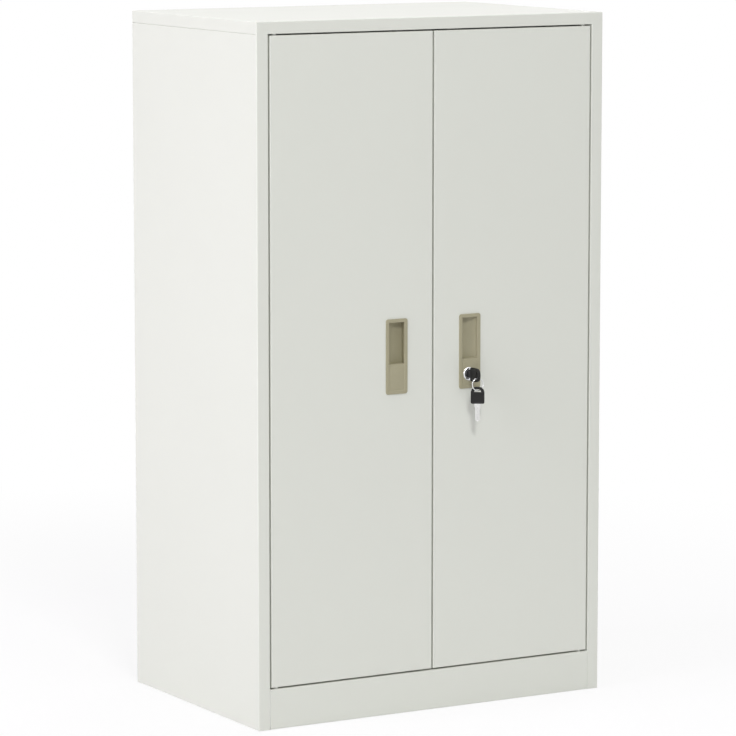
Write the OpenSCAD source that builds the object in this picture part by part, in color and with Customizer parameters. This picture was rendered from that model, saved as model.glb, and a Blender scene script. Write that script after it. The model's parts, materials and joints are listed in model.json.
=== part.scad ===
// Two-door steel cabinet for tools and parts.
// Folded sheet carcass with a cap, a plinth and flush doors on corner pins, two
// shelves on clips, recessed pulls, a key lock that throws two rods, and slide
// bolts on the other door. The origin is the middle of the lower back edge, the
// front faces -Y and the cabinet stands on Z = 0.

/* [Cabinet] */
// Overall width
cabinet_w = 610; // [480:1:920]
// Overall height
cabinet_h = 1067; // [900:1:1830]
// Overall depth, without handles and keys
cabinet_d = 406; // [300:1:500]
// Sheet thickness
sheet_t = 0.8; // [0.6:0.1:1.2]
// Inside radius of every fold
bend_r = 0.8; // [0.5:0.1:1.5]
// Height of the cap's skirt, which is the header over the doors
cap_h = 18.5; // [14:0.5:40]
// Width of the front stiles
stile_w = 20; // [18:0.5:40]
// Depth of the stile's return beside the door
jamb_d = 14; // [8:0.5:20]
// Height of the plinth below the doors
kick_h = 61.5; // [40:0.5:120]
// Width of the folded edges that join the panels
flange_w = 15; // [13:0.5:20]

/* [Doors] */
// Gap between a door and the frame round it
door_gap = 2.5; // [2:0.1:4]
// Gap between the two doors
meeting_gap = 2.5; // [2:0.1:4]
// Thickness of a door
door_t = 18; // [16:0.5:20]
// Width of the lip that a door's edge turns in to
door_lip = 14; // [12:0.5:20]
// Distance from a door's hinge edge to its pivot
pivot_in = 10.5; // [10:0.1:12]
// Distance from a door's face to its pivot
pivot_back = 7; // [6:0.1:8]
// Diameter of the pivot pins
pivot_d = 4; // [3:0.1:4.5]
// Thickness of the pivot brackets inside the doors
bracket_t = 2; // [1.5:0.1:3]
// Distance from the door's face to the lip that it closes against
stop_back = 29; // [28:0.5:32]
// Height of that lip
stop_h = 12; // [11:0.5:16]
// Width of the stiffener behind each door skin
stiffener_w = 30; // [20:1:50]

/* [Shelves] */
// Height of a shelf's turned-down edges
shelf_h = 25; // [15:1:35]
// Distance from the front to the shelves
shelf_back = 34; // [32:0.5:60]
// Depth of the slotted strips on the side walls
strip_d = 12; // [9:0.5:16]
// Width of the slotted strips
strip_w = 25; // [20:1:40]
// Distance between slots
slot_pitch = 50; // [25:5:60]
// Slot that carries the lower shelf, counted from the bottom
lower_slot = 6; // [3:1:7]
// Slot that carries the upper shelf
upper_slot = 12; // [10:1:14]

/* [Handles] */
// Width of the handle's face plate
plate_w = 37.5; // [36:0.5:50]
// Height of the face plate
plate_h = 115; // [112:1:140]
// How far the face plate stands out of the door
plate_t = 1.6; // [1.2:0.1:3]
// Width of the rim round the face plate
rim_w = 5; // [4:0.5:8]
// Height of the finger pocket
pocket_h = 64; // [50:1:66]
// Depth of the finger pocket behind the door's face
pocket_d = 11; // [8:0.5:13]
// How far the pocket runs in behind the grip edge
undercut = 2; // [1:0.1:2]
// Distance from the middle of the cabinet to the middle of a handle
handle_x = 65; // [60:1:90]
// Height of the handles' middle above the floor
handle_z = 554; // [450:1:640]

/* [Lock] */
// How far the lock sits off the handle's middle, towards the other door
lock_shift = 1.5; // [0:0.5:2]
// How far the lock sits below the middle of the panel under the pocket
lock_drop = 3; // [2:0.5:5.5]
// Diameter of the lock's front ring
bezel_d = 21; // [19:0.5:24]
// Diameter of the lock's barrel
barrel_d = 16; // [15:0.5:18]
// Diameter of the turning plug
plug_d = 12; // [11.5:0.1:13]
// Distance from the lock's axis to each rod pin on the cam
orbit_r = 9; // [8:0.5:10]
// Thickness of the lock rods and slide bolts
rod_t = 2.5; // [2:0.1:2.8]
// Travel of the slide bolts
bolt_throw = 13; // [10:0.5:14]

/* [Keys] */
// Width of a key's moulded head
key_w = 21; // [20:0.5:24]
// Length of the head
key_h = 26; // [25:0.5:30]
// Thickness of the head
key_t = 3.2; // [3:0.1:3.4]
// Width of a key's blade
blade_w = 7.5; // [6:0.1:8]
// Thickness of the blade
blade_t = 2; // [1.5:0.1:2.2]
// Length of the blade beyond the head
blade_l = 27; // [24:0.5:27]
// Length of the slot that takes the key ring
eye_l = 11; // [10.6:0.1:11.2]
// Radius of the key ring to the middle of its wire
ring_r = 9.6; // [9.5:0.1:10]
// Thickness of the ring's wire
wire_d = 1.4; // [1.2:0.1:1.5]

/* [Hidden] */

$fn = 64;

// Fits and clearances
run_fit = 0.05;       // radial gap of a pin or a plug that turns
slide_fit = 0.4;      // gap round a bar that slides
slot_fit = 1.25;      // gap round a bar where it enters the frame
seat_gap = 0.3;       // gap between a moving piece and what it closes on
hole_fit = 0.3;       // gap round a piece that passes through sheet
bite = 1;             // how far a cutting shape reaches past what it cuts

// Carcass
bend_steps = 4;
mid_r = bend_r + sheet_t / 2;
out_r = bend_r + sheet_t;
half_w = cabinet_w / 2;
front_y = -cabinet_d;
side_h = cabinet_h - cap_h;
jamb_x = half_w - stile_w;
inner_x = half_w - sheet_t;
deck_z = kick_h + stop_h;
stop_y = front_y + stop_back;
mid_z = (kick_h + side_h) / 2;
seam = 0.3;
overlap = 5;          // length over which the folds of one sheet meet
kick_lip = 12;
wall_hole_d = 6;
wall_hole_x = 200;
wall_hole_drop = 40;  // below the cap
cap_screw_d = 5;
cap_screw_l = 10;
cap_head_d = 9;
cap_head_h = 3;
cap_nut_d = 9.2;      // across the corners
cap_nut_h = 4;
cap_screw_y = [front_y * 0.25, front_y * 0.75];

// Doors
door_w = jamb_x - door_gap - meeting_gap / 2;
door_h = side_h - kick_h - 2 * door_gap;
door_x = jamb_x - door_gap;
door_z = kick_h + door_gap;
door_back = front_y + door_t;
pivot_x = door_x - pivot_in;
pivot_y = front_y + pivot_back;
bracket_past = 14;    // bracket beyond its pin
bracket_w = pivot_in + bracket_past;
bracket_d = door_t - 2 * out_r - bend_r;
pin_head = 2.2;
pin_head_r = pivot_d / 2 + 1.4;
pin_taper = 1;
bush_r = pivot_d / 2 + 0.9;
washer_r = pivot_d / 2 + 1.4;
bush_below = 1.7;     // how far a bush reaches past the sheet that holds it
catch_x = 38;
catch_w = 34;
catch_h = 11;
catch_wall = 5;       // beside the magnet
catch_floor = 2;      // behind and below the magnet
catch_roof = 3;       // above the magnet
catch_reach = stop_back - door_t;
bumper_x = 30;
bumper_r = 4.5;

// Slide bolts on the left door and rods on the right door
bolt_w = 9;
bolt_l = 100;
bolt_x = -(meeting_gap + door_lip + out_r) / 2;
bolt_y = door_back + seat_gap;
strap_t = 1.2;
strap_h = 8;
strap_drops = [12, 60]; // from the bolt's end to each strap
tab_l = 8;
bolt_rest = 0.5;      // a drawn bolt's end sits this far inside the door's edge
lock_x = handle_x - lock_shift;
lock_z = handle_z - pocket_h / 2 - lock_drop;
cam_t = 2;
cam_pin_d = 4;
cam_arm_w = cam_pin_d + 5;
cam_screw_d = 4;
cam_sink = 1.6;       // depth of the screw's countersink
barrel_back = door_t + 3.5;
cam_back = barrel_back + seat_gap + cam_t;
rod_y = front_y + cam_back + seat_gap;
pin_reach_x = [orbit_r * cos(45), orbit_r];
rod_x = (pin_reach_x[0] + pin_reach_x[1]) / 2;
rod_slot_w = pin_reach_x[1] - pin_reach_x[0] + cam_pin_d + 2 * slide_fit;
rod_slot_h = cam_pin_d + 1;
rod_wall = 2;
bolt_taper = 2;       // corners cut off a bolt's end
rod_taper = 3;        // and off a rod's end
rod_w = rod_slot_w + 2 * rod_wall;
rod_throw = 2 * orbit_r * sin(45);
rod_pin_z = orbit_r * sin(45);
guide_foot = 6;       // foot on each side of a rod
guide_w = rod_w + 2 * guide_foot;
guide_h = 10;
guide_back = rod_y - door_back + rod_t + 1.2;

// Shelves
strip_web_x = inner_x - strip_d;
strip_short = 8;      // below the cap
strip_h = side_h - deck_z - strip_short;
strip_foot = 9;
strip_in = 30;        // front strips behind the shelves' front edge
strip_front_y = front_y + shelf_back + strip_in;
strip_rear_y = -60;
slot_w = 10;
slot_first = 40;
slot_count = floor((strip_h - 2 * slot_first) / slot_pitch) + 1;
clip_t = 1.5;
slot_h = clip_t + 1;
clip_drop = 14;
clip_ledge = 13;
clip_hook = 6;
clip_w = slot_w - 0.6;
shelf_w = 2 * (strip_web_x - clip_t - 0.5);
shelf_rear = 4;
shelf_d = cabinet_d - shelf_back - shelf_rear;
shelf_lip = 12;

// Handles
sunk = 0.5;
plate_r = 3.5;
plate_bevel = 0.8;
pocket_wall = 1.2;
grip_t = 1;
open_x = plate_w / 2 - rim_w;
deep_x = open_x + undercut;
pocket_z = plate_h / 2 - rim_w - pocket_h / 2;
scoop_run = deep_x + open_x;
scoop_drop = pocket_d + plate_t - sunk;
scoop_steps = 15;
lug_w = 10;
lug_out = 0.8;

// Lock and keys
plug_front = plate_t + 2.3;
bezel_t = 2.4;
washer_t = 0.6;
washer_rim = 3.5;     // beyond the barrel
nut_t = 3;
nut_wall = 3;         // from the barrel to the flats
keyway_fit = 0.25;
shoulder_w = blade_w + 2.1;
shoulder_l = 6;
key_stand = 2.9;      // from the plug's face to the head
key_seat = plug_front + key_stand;
mouth_l = shoulder_l - key_stand + seat_gap;
eye_h = 4.4;
eye_edge = 3.8;
eye_z = key_h - eye_edge - eye_h / 2;
eye_r = 1.2;
arch_r = key_w * 0.44;
arch_steps = 12;
tang_l = 9;
panel_in = 2.2;
panel_sunk = 0.35;
head_corner = 2.5;
groove_w = blade_w * 0.22;
groove_d = 0.4;
cut_count = 4;
cut_first = 4;        // from the shoulder to the first cut
cut_pitch = 3.6;
cut_d = [0.5, 0.8];   // depths of the cuts in turn
cut_floor = 1;
cut_mouth = 3.2;
ring_y = front_y - key_seat - eye_z;
ring_drop = (key_w + eye_l) / 4;              // middle of the head's rim beside the eye
ring_hang = ring_r - wire_d / 2 - (key_w - eye_l) / 4 - 0.8;
ring_z = lock_z - ring_drop - ring_hang;
hang_turn = -35;
hang_rise = 2;      // from the wire's lowest point to the top of the eye
hang_z = ring_z - ring_r + hang_rise - (key_h - eye_edge);

paint = [0.86, 0.86, 0.83];
khaki = [0.62, 0.60, 0.50];
steel = [0.70, 0.71, 0.72];
chrome = [0.82, 0.83, 0.84];
nylon = [0.92, 0.92, 0.89];
black = [0.10, 0.10, 0.11];

// ---- Folded sheet ----

function unit(v) = v / norm(v);
function left_of(v) = [-v[1], v[0]];
function reversed(v) = [for (i = [len(v) - 1 : -1 : 0]) v[i]];

// Arc at the corner b of the line a, b, c, shifted d to the left of the line
function fold(a, b, c, r, d) =
    let (u = unit(b - a), v = unit(c - b), turn = sign(cross(u, v)), angle = acos(u * v),
         centre = b - u * r * tan(angle / 2) + left_of(u) * r * turn,
         first = atan2(-turn * left_of(u)[1], -turn * left_of(u)[0]))
    [for (k = [0 : bend_steps])
        let (s = first + turn * angle * k / bend_steps)
        centre + (r - turn * d) * [cos(s), sin(s)]];

// One face of a sheet whose middle follows the line
function sheet_face(line, r, d) =
    let (last = len(line) - 1)
    [for (i = [0 : last]) each
        i == 0 ? [line[0] + left_of(unit(line[1] - line[0])) * d]
        : i == last ? [line[last] + left_of(unit(line[last] - line[last - 1])) * d]
        : fold(line[i - 1], line[i], line[i + 1], r, d)];

function sheet_section(line, t, r) =
    concat(sheet_face(line, r, t / 2), reversed(sheet_face(line, r, -t / 2)));

// Sheet folded along a line, as a section to be extruded
module folded(line, t = sheet_t, r = mid_r) {
    polygon(sheet_section(line, t, r));
}

// Extrusions: a plan section upwards, a (y, z) section along X, an (x, z) section along Y
module upright(z0, z1) {
    translate([0, 0, z0]) linear_extrude(z1 - z0) children();
}

module along_x(x0, x1) {
    translate([x0, 0, 0]) rotate([90, 0, 90]) linear_extrude(x1 - x0) children();
}

module along_y(y0, y1) {
    translate([0, y1, 0]) rotate([90, 0, 0]) linear_extrude(y1 - y0) children();
}

// Rectangle with its own radius at each corner, from the lower left and round to the left
function corner(c, r, first, steps) =
    r == 0 ? [c] : [for (k = [0 : steps]) let (a = first + 90 * k / steps) c + r * [cos(a), sin(a)]];

function rounded_rect(w, h, r, steps = bend_steps) = concat(
    corner([r[0], r[0]], r[0], 180, steps), corner([w - r[1], r[1]], r[1], 270, steps),
    corner([w - r[2], h - r[2]], r[2], 0, steps), corner([r[3], h - r[3]], r[3], 90, steps));

// Block of w by h and depth d whose face looks to -Y, with rounded edges
module soft_block(w, h, d, face_r, back_r, side_r) {
    intersection() {
        upright(0, h) polygon(rounded_rect(w, d, [face_r, face_r, back_r, back_r]));
        along_x(0, w) polygon(rounded_rect(d, h, [face_r, back_r, back_r, face_r]));
        along_y(0, d) polygon(rounded_rect(w, h, [side_r, side_r, side_r, side_r]));
    }
}

// Folded pan: a skin, four turned edges and a lip of its own width on each edge
module pan(w, h, d, lips, back_r = out_r, side_r = 0) {
    difference() {
        soft_block(w, h, d, out_r, back_r, side_r);
        translate([sheet_t, sheet_t, sheet_t])
            soft_block(w - 2 * sheet_t, h - 2 * sheet_t, d - 2 * sheet_t,
                out_r - sheet_t, max(0, back_r - sheet_t), max(0, side_r - sheet_t));
        translate([lips[0], d - sheet_t - bite, lips[2]])
            cube([w - lips[0] - lips[1], sheet_t + 2 * bite, h - lips[2] - lips[3]]);
    }
}

// Lays a pan flat, skin upwards, with its lower edge to the front
module laid_flat() {
    rotate([-90, 0, 0]) children();
}

module both_sides() {
    children();
    mirror([1, 0, 0]) children();
}

// Copies what is at the top of a door to its bottom
module both_ends() {
    children();
    at_lower_end() children();
}

module at_lower_end() {
    translate([0, 0, 2 * mid_z]) mirror([0, 0, 1]) children();
}

module box(low, high) {
    translate(low) cube(high - low);
}

// ---- Carcass ----

// Left side: wall, stile with its return, rear edge, and edges turned in at top and bottom.
// The foot stops short of the back panel's own foot.
module side_panel() {
    wall_x = -half_w + sheet_t / 2;
    edge_front = front_y + out_r + seam;
    top_rear = -out_r - seam;
    foot_rear = -flange_w - 2 * sheet_t - seam;
    color(paint) difference() {
        union() {
            difference() {
                upright(0, side_h) folded([
                    [-jamb_x - sheet_t / 2, front_y + jamb_d],
                    [-jamb_x - sheet_t / 2, front_y + sheet_t / 2],
                    [wall_x, front_y + sheet_t / 2],
                    [wall_x, -sheet_t / 2],
                    [wall_x + flange_w, -sheet_t / 2]]);
                box([-half_w - bite, edge_front, -bite], [-half_w + out_r, foot_rear, out_r]);
                box([-half_w - bite, edge_front, side_h - out_r],
                    [-half_w + out_r, top_rear, side_h + bite]);
            }
            along_y(edge_front, top_rear) folded([
                [wall_x, side_h - overlap],
                [wall_x, side_h - sheet_t / 2],
                [wall_x + flange_w, side_h - sheet_t / 2]]);
            along_y(edge_front, foot_rear) folded([
                [wall_x + flange_w, sheet_t / 2],
                [wall_x, sheet_t / 2],
                [wall_x, overlap]]);
        }
        cap_screw_holes();
    }
}

module left_side_panel() {
    side_panel();
}

module right_side_panel() {
    mirror([1, 0, 0]) side_panel();
}

// Places children on the axis of each cap screw
module at_cap_screws() {
    for (y = cap_screw_y)
        both_sides() translate([-half_w + sheet_t + flange_w / 2, y, side_h]) children();
}

module cap_screw_holes() {
    at_cap_screws() cylinder(h = 4 * sheet_t, d = cap_screw_d + 2 * hole_fit, center = true);
}

// Back sheet inside the rear edges, with a foot turned in at the floor, top corners cut out
// round the cap's lips, and wall-fixing holes
module back_panel() {
    color(paint) difference() {
        along_x(-half_w + out_r, half_w - out_r) folded([
            [-1.5 * sheet_t - flange_w, sheet_t / 2],
            [-1.5 * sheet_t, sheet_t / 2],
            [-1.5 * sheet_t, side_h + cap_h - 2 * out_r]]);
        both_sides() box([half_w - flange_w - seam, -4 * sheet_t, side_h - seam],
            [half_w, bite, cabinet_h]);
        for (x = [-wall_hole_x, wall_hole_x])
            translate([x, 0, side_h - wall_hole_drop]) rotate([90, 0, 0])
                cylinder(h = 6 * sheet_t, d = wall_hole_d, center = true);
    }
}

// Cap: pan laid over the sides, whose wide front lip is the door header
module top_panel() {
    color(paint) difference() {
        translate([-half_w, front_y, cabinet_h]) laid_flat()
            pan(cabinet_w, cabinet_d, cap_h,
                [flange_w, flange_w, stop_back + flange_w, sheet_t], 0, out_r);
        cap_screw_holes();
        both_sides() translate([pivot_x, pivot_y, side_h]) bush_hole();
        bolt_slot(side_h);
        rod_slot(lock_x + rod_x, side_h);
    }
}

// Angle under the header that the doors close against
module header_stop() {
    color(paint) along_x(-jamb_x, jamb_x) folded([
        [stop_y + sheet_t / 2, side_h - stop_h],
        [stop_y + sheet_t / 2, side_h - sheet_t / 2],
        [stop_y + flange_w - seam, side_h - sheet_t / 2]]);
}

// Plinth between the stiles, with a foot and the door ledge folded back from it
module plinth_panel() {
    color(paint) difference() {
        along_x(-inner_x + seam, inner_x - seam) folded([
            [front_y + kick_lip, sheet_t / 2],
            [front_y + sheet_t / 2, sheet_t / 2],
            [front_y + sheet_t / 2, kick_h - sheet_t / 2],
            [stop_y + flange_w, kick_h - sheet_t / 2]]);
        both_sides() box([-half_w, front_y - bite, -bite],
            [-jamb_x + seam, front_y + jamb_d + seam, kick_h + bite]);
        both_sides() translate([pivot_x, pivot_y, kick_h]) bush_hole();
        bolt_slot(kick_h);
        rod_slot(lock_x - rod_x, kick_h);
    }
}

// Raised floor; its front edge stands on the ledge and stops the doors
module floor_panel() {
    side_x = -inner_x + seam;
    rear_y = -2 * sheet_t - seam;
    edge_y = [stop_y + flange_w + seam, rear_y - out_r];
    color(paint) {
        difference() {
            along_x(side_x, -side_x) folded([
                [stop_y + sheet_t / 2, kick_h],
                [stop_y + sheet_t / 2, deck_z - sheet_t / 2],
                [rear_y - sheet_t / 2, deck_z - sheet_t / 2],
                [rear_y - sheet_t / 2, deck_z - flange_w]]);
            both_sides() box([side_x - bite, edge_y[0], deck_z - out_r],
                [side_x + out_r, edge_y[1], deck_z + bite]);
        }
        both_sides() along_y(edge_y[0], edge_y[1]) folded([
            [side_x + sheet_t / 2, deck_z - flange_w],
            [side_x + sheet_t / 2, deck_z - sheet_t / 2],
            [side_x + 2 * overlap, deck_z - sheet_t / 2]]);
    }
}

module bush_hole() {
    cylinder(h = 4 * sheet_t, r = bush_r + run_fit, center = true);
}

module bolt_slot(z) {
    box([bolt_x - bolt_w / 2 - slot_fit, bolt_y - slot_fit, z - 2 * sheet_t],
        [bolt_x + bolt_w / 2 + slot_fit, bolt_y + rod_t + slot_fit, z + 2 * sheet_t]);
}

module rod_slot(x, z) {
    box([x - rod_w / 2 - slot_fit, rod_y - slot_fit, z - 2 * sheet_t],
        [x + rod_w / 2 + slot_fit, rod_y + rod_t + slot_fit, z + 2 * sheet_t]);
}

// Slotted hat channel on the left wall, standing on the floor of the cabinet
module shelf_strip(y) {
    root_x = -inner_x + sheet_t / 2;
    web_x = -strip_web_x - sheet_t / 2;
    color(paint) difference() {
        upright(deck_z, deck_z + strip_h) folded([
            [root_x, y - strip_w / 2 - strip_foot],
            [root_x, y - strip_w / 2],
            [web_x, y - strip_w / 2],
            [web_x, y + strip_w / 2],
            [root_x, y + strip_w / 2],
            [root_x, y + strip_w / 2 + strip_foot]]);
        for (k = [0 : slot_count - 1])
            translate([web_x, y, slot_z(k)]) cube([2 * out_r, slot_w, slot_h], center = true);
    }
}

function slot_z(k) = deck_z + slot_first + k * slot_pitch;

module front_left_shelf_strip() {
    shelf_strip(strip_front_y);
}

module rear_left_shelf_strip() {
    shelf_strip(strip_rear_y);
}

module front_right_shelf_strip() {
    mirror([1, 0, 0]) shelf_strip(strip_front_y);
}

module rear_right_shelf_strip() {
    mirror([1, 0, 0]) shelf_strip(strip_rear_y);
}

function shelf_z(k) = slot_z(k) - clip_drop + clip_t / 2;

// Shelf whose edges turn down and in, resting on the clips of slot k
module shelf(k) {
    color(paint) translate([-shelf_w / 2, front_y + shelf_back, shelf_z(k) + shelf_h]) laid_flat()
        pan(shelf_w, shelf_d, shelf_h, [shelf_lip, shelf_lip, shelf_lip, shelf_lip]);
}

module upper_shelf() {
    shelf(upper_slot);
}

module lower_shelf() {
    shelf(lower_slot);
}

// Strip steel clip: a hook behind the slotted web, a leg in front of it and a ledge
module shelf_clip(y, k) {
    web_x = -strip_web_x;
    along_y(y - clip_w / 2, y + clip_w / 2) folded([
        [web_x - sheet_t - clip_t, slot_z(k) - clip_hook],
        [web_x - sheet_t - clip_t, slot_z(k)],
        [web_x + clip_t / 2, slot_z(k)],
        [web_x + clip_t / 2, slot_z(k) - clip_drop],
        [web_x + clip_ledge, slot_z(k) - clip_drop]], clip_t, clip_t * 0.75);
}

module shelf_clips() {
    color(steel) both_sides()
        for (k = [lower_slot, upper_slot], y = [strip_front_y, strip_rear_y])
            shelf_clip(y, k);
}

// Pan-head screws up through the sides' top edges and the cap's lips
module cap_screws() {
    color(steel) at_cap_screws() {
        translate([0, 0, -sheet_t - cap_head_h]) cylinder(h = cap_head_h, d = cap_head_d);
        translate([0, 0, -sheet_t]) cylinder(h = cap_screw_l, d = cap_screw_d);
    }
}

module cap_nuts() {
    color(steel) at_cap_screws() translate([0, 0, sheet_t]) difference() {
        cylinder(h = cap_nut_h, d = cap_nut_d, $fn = 6);
        translate([0, 0, -bite]) cylinder(h = cap_nut_h + 2 * bite, d = cap_screw_d);
    }
}

// Nylon bushes in the header and the ledge; each one's flange shows in the gap at the door
module hinge_bushes() {
    color(nylon) both_sides() both_ends() translate([pivot_x, pivot_y, 0]) difference() {
        union() {
            translate([0, 0, side_h - door_gap + seat_gap]) cylinder(h = door_gap - seat_gap, r = washer_r);
            translate([0, 0, side_h - seat_gap]) cylinder(h = sheet_t + bush_below + seat_gap, r = bush_r);
        }
        translate([0, 0, side_h - door_gap]) cylinder(h = 4 * door_gap, r = pivot_d / 2 + run_fit);
    }
}

// Catch bodies on the front of the header's stop, one for each door
module magnetic_catches() {
    color(nylon) both_sides() difference() {
        box([catch_x - catch_w / 2, stop_y - catch_reach + seat_gap + 1, side_h - catch_h],
            [catch_x + catch_w / 2, stop_y, side_h]);
        box([catch_x - catch_w / 2 + catch_wall, stop_y - catch_reach - bite,
             side_h - catch_h + catch_floor],
            [catch_x + catch_w / 2 - catch_wall, stop_y - catch_floor, side_h - catch_roof]);
    }
}

// Magnet between two pole plates, filling the catch's pocket
module catch_magnets() {
    pole_t = 1.2;
    low = [catch_x - catch_w / 2 + catch_wall, stop_y - catch_reach + seat_gap,
        side_h - catch_h + catch_floor];
    high = [catch_x + catch_w / 2 - catch_wall, stop_y - catch_floor, side_h - catch_roof];
    color(steel) both_sides() difference() {
        box(low, high);
        box([low[0] - bite, low[1] - bite, low[2] + pole_t],
            [high[0] + bite, low[1] + 1.5, high[2] - pole_t]);
    }
}

// Rubber buffers on the floor's stop, with domed ends
module door_bumpers() {
    reach = catch_reach - seat_gap;
    color(black) both_sides() translate([bumper_x, stop_y, kick_h + stop_h / 2]) rotate([90, 0, 0])
        rotate_extrude() intersection() {
            square([bumper_r, reach]);
            translate([0, reach - 2 * bumper_r]) circle(r = 2 * bumper_r);
        }
}

// ---- Doors ----

// Left door blank, with the holes for its pins and the cut-out for its handle
module door_blank() {
    difference() {
        translate([-door_x, front_y, door_z])
            pan(door_w, door_h, door_t, [door_lip, door_lip, door_lip, door_lip]);
        both_ends() translate([-pivot_x, pivot_y, side_h - door_gap])
            cylinder(h = 4 * sheet_t, r = pivot_d / 2 + hole_fit, center = true);
        translate([-handle_x, front_y, handle_z + pocket_z]) box(
            [-open_x - pocket_wall - hole_fit, -bite, -pocket_h / 2 - pocket_wall - hole_fit],
            [deep_x + pocket_wall + hole_fit, sheet_t + bite, pocket_h / 2 + pocket_wall + hole_fit]);
    }
}

module left_door_panel() {
    color(paint) door_blank();
}

module right_door_panel() {
    color(paint) difference() {
        mirror([1, 0, 0]) door_blank();
        on_lock_axis(-bite) cylinder(h = sheet_t + 2 * bite, d = barrel_d + 2 * hole_fit);
    }
}

// Hat channel down the middle of a door, between its skin and its lips
module door_stiffener() {
    x = -door_x + door_w / 2;
    foot = 12;
    skin_y = front_y + 1.5 * sheet_t;
    crown_y = door_back - 1.5 * sheet_t;
    color(paint) upright(door_z + out_r, door_z + door_h - out_r) folded([
        [x - stiffener_w / 2 - foot, skin_y],
        [x - stiffener_w / 2, skin_y],
        [x - stiffener_w / 2, crown_y],
        [x + stiffener_w / 2, crown_y],
        [x + stiffener_w / 2, skin_y],
        [x + stiffener_w / 2 + foot, skin_y]]);
}

module left_door_stiffener() {
    door_stiffener();
}

module right_door_stiffener() {
    mirror([1, 0, 0]) door_stiffener();
}

// Thick angle in the corner of a door, which holds the pivot pin
module pivot_bracket() {
    edge_z = door_z + door_h - sheet_t;
    edge_x = -door_x + sheet_t;
    difference() {
        along_y(front_y + out_r, front_y + out_r + bracket_d) folded([
            [edge_x + bracket_t / 2, edge_z - bracket_w],
            [edge_x + bracket_t / 2, edge_z - bracket_t / 2],
            [edge_x + bracket_w, edge_z - bracket_t / 2]], bracket_t, bend_r + bracket_t / 2);
        translate([-pivot_x, pivot_y, edge_z]) cylinder(h = 4 * bracket_t, d = pivot_d, center = true);
    }
}

module left_pivot_brackets() {
    color(steel) both_ends() pivot_bracket();
}

module right_pivot_brackets() {
    color(steel) mirror([1, 0, 0]) both_ends() pivot_bracket();
}

// Headed pin from the bracket through the door's edge into the bush
module pivot_pin() {
    head_z = door_z + door_h - sheet_t - bracket_t;
    taper_z = side_h + sheet_t + bush_below;
    translate([-pivot_x, pivot_y, 0]) {
        translate([0, 0, head_z - pin_head]) cylinder(h = pin_head, r = pin_head_r);
        translate([0, 0, head_z - pin_head / 2])
            cylinder(h = taper_z - head_z + pin_head / 2, d = pivot_d);
        translate([0, 0, taper_z]) cylinder(h = pin_taper, d1 = pivot_d, d2 = pivot_d - pin_taper);
    }
}

module left_pivot_pins() {
    color(steel) both_ends() pivot_pin();
}

module right_pivot_pins() {
    color(steel) mirror([1, 0, 0]) both_ends() pivot_pin();
}

// ---- Handles ----

// Plan of the finger pocket: a quarter of an ellipse from the hinge side of the opening to a
// floor that runs level behind the grip, with all its faces moved out by the wall
module scoop_plan(front, wall) {
    intersection() {
        translate([-open_x - wall, front]) square([scoop_run + 2 * wall, pocket_d + wall - front]);
        translate([deep_x, pocket_d - scoop_drop]) polygon(concat(
            [[wall, -pocket_d], [wall, scoop_drop + wall]],
            [for (k = [0 : scoop_steps]) let (a = 90 * k / scoop_steps)
                [-(scoop_run + wall) * sin(a), (scoop_drop + wall) * cos(a)]],
            [[-scoop_run - wall, -pocket_d]]));
    }
}

module plate_layer(inset, y0, y1) {
    r = plate_r - inset;
    translate([-plate_w / 2 + inset, 0, -plate_h / 2 + inset]) along_y(y0, y1)
        polygon(rounded_rect(plate_w - 2 * inset, plate_h - 2 * inset, [r, r, r, r]));
}

// Moulded pull for the left door, about the middle of its face plate
module handle_cup() {
    shell_z = pocket_h / 2 + pocket_wall;
    difference() {
        union() {
            hull() {
                plate_layer(0, -plate_t + plate_bevel, 0);
                plate_layer(plate_bevel, -plate_t, 0);
            }
            translate([0, 0, pocket_z]) {
                upright(-shell_z, shell_z) scoop_plan(0, pocket_wall);
                for (z = [-shell_z, shell_z])
                    box([-lug_w / 2, sheet_t + run_fit, z - lug_out],
                        [lug_w / 2, 4 * sheet_t, z + lug_out]);
            }
        }
        box([-open_x, -plate_t - bite, -plate_h / 2 + rim_w],
            [open_x, -plate_t + sunk, plate_h / 2 - rim_w]);
        translate([0, 0, pocket_z]) upright(-pocket_h / 2, pocket_h / 2) {
            scoop_plan(grip_t, 0);
            intersection() {
                scoop_plan(-plate_t - bite, 0);
                translate([-open_x, -plate_t - bite]) square([2 * open_x, pocket_d + plate_t + bite]);
            }
        }
    }
}

module left_handle_cup() {
    color(khaki) translate([-handle_x, front_y, handle_z]) handle_cup();
}

module right_handle_cup() {
    color(khaki) difference() {
        translate([handle_x, front_y, handle_z]) mirror([1, 0, 0]) handle_cup();
        on_lock_axis(-plate_t - bite) cylinder(h = plate_t + 2 * bite, d = barrel_d + 2 * run_fit);
    }
}

// ---- Slide bolts on the left door ----

// Flat bar behind the door's lip, with a finger tab; drawn back at rest
module slide_bolt() {
    tip = side_h - door_gap - bolt_rest;
    color(steel) {
        translate([bolt_x, 0, 0]) along_y(bolt_y, bolt_y + rod_t) polygon([
            [-bolt_w / 2, tip - bolt_l], [bolt_w / 2, tip - bolt_l],
            [bolt_w / 2, tip - bolt_taper], [bolt_w / 2 - bolt_taper, tip],
            [-bolt_w / 2 + bolt_taper, tip], [-bolt_w / 2, tip - bolt_taper]]);
        box([bolt_x - bolt_w / 2, bolt_y + rod_t / 2, tip - bolt_l],
            [bolt_x + bolt_w / 2, bolt_y + tab_l, tip - bolt_l + rod_t]);
    }
}

module upper_bolt() {
    slide_bolt();
}

module lower_bolt() {
    at_lower_end() slide_bolt();
}

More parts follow.
